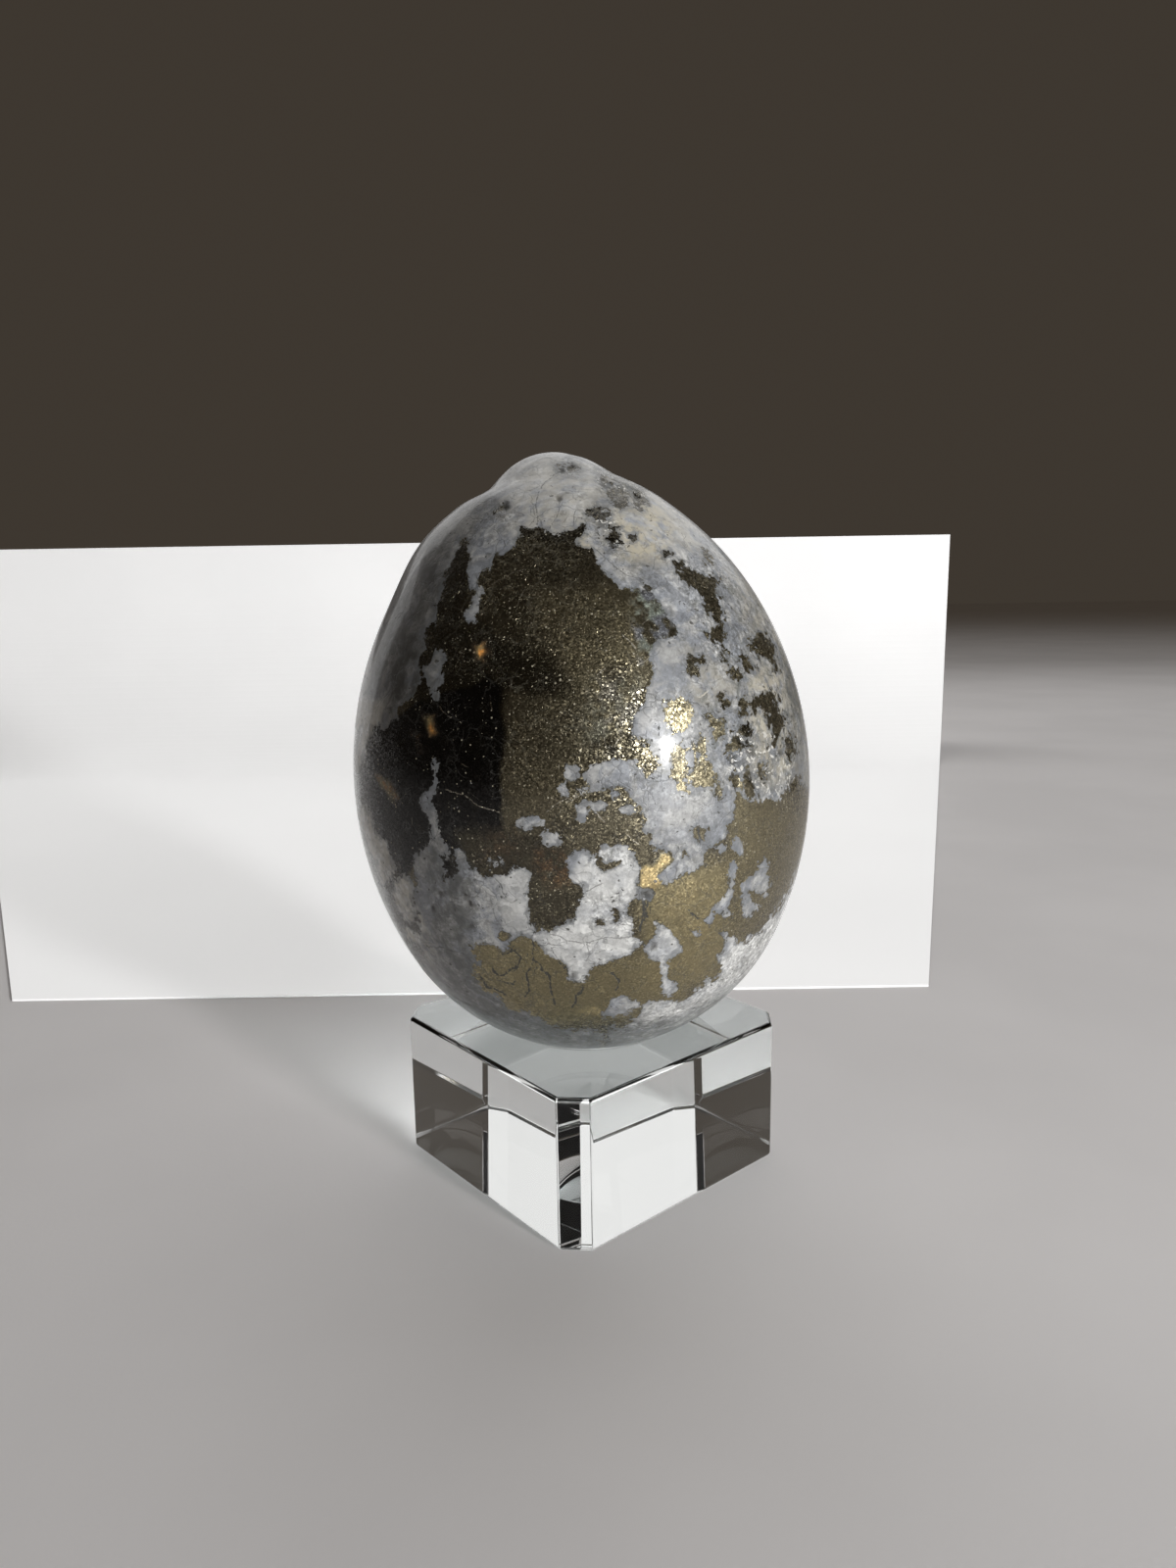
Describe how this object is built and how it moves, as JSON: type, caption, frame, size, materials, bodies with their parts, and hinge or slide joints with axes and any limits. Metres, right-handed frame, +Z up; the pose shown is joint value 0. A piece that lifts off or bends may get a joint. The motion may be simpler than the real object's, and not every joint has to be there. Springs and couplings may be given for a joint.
{
  "type": "stone egg on display block",
  "caption": "Polished stone egg of quartz grown through pyrite, with a knobbed crown, leaning slightly in the round dish of a clear square display block.",
  "frame": {"origin": "centre of the clear block's underside, on the surface that it stands on", "axes": "+Z up, +X to the right as seen from the front; the egg's display face looks towards -Y, over one corner of the block"},
  "size_m": [0.0466, 0.0466, 0.0743],
  "materials": {
    "clear_glass": "clear, polished on every face",
    "pyrite": "polished fine-grained metallic mineral, dark olive to brassy gold, with hair scratches and cracks",
    "quartz": "polished translucent white to grey-blue mineral with fine cracks and specks"
  },
  "bodies": {
    "stand": {"clear_block": "clear_glass"},
    "egg": {"pyrite_ground": "pyrite", "quartz_crown": "quartz", "quartz_left_streak": "quartz", "quartz_left_band": "quartz", "quartz_left_patch": "quartz", "quartz_left_mass": "quartz", "quartz_belly_mass": "quartz", "quartz_right_band": "quartz", "quartz_right_patch": "quartz", "quartz_cross_patch": "quartz", "quartz_foot_arc": "quartz", "quartz_flecks": "quartz", "pyrite_islands": "pyrite", "quartz_back_seam": "quartz", "quartz_back_patch": "quartz", "quartz_back_foot": "quartz"}
  },
  "joints": [
    {"name": "egg_lift", "type": "slide", "parent": "stand", "child": "egg", "axis": [0, 0, 1], "range_m": [0, 0.06]}
  ]
}
